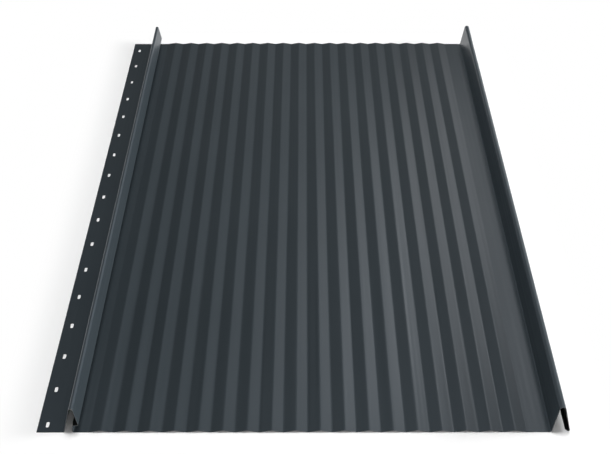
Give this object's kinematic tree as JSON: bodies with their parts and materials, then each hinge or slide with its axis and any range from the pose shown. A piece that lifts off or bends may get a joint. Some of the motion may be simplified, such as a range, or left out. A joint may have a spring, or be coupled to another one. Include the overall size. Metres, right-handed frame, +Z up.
{
  "type": "standing seam roofing panel",
  "caption": "Roll-formed standing-seam metal roofing panel with a finely corrugated pan, a slotted nailing strip beside a barbed male seam, and a female seam that clips over the next one.",
  "frame": {"origin": "middle of the panel's length and overall width, on the plane it lies on", "axes": "+Y along the length, +X from the nailing strip to the female seam, +Z up, out of the painted side"},
  "size_m": [0.5574, 1, 0.0329],
  "materials": {
    "coated_steel": "matte coil coating"
  },
  "bodies": {
    "root": {"roof_panel": "coated_steel"}
  },
  "joints": []
}
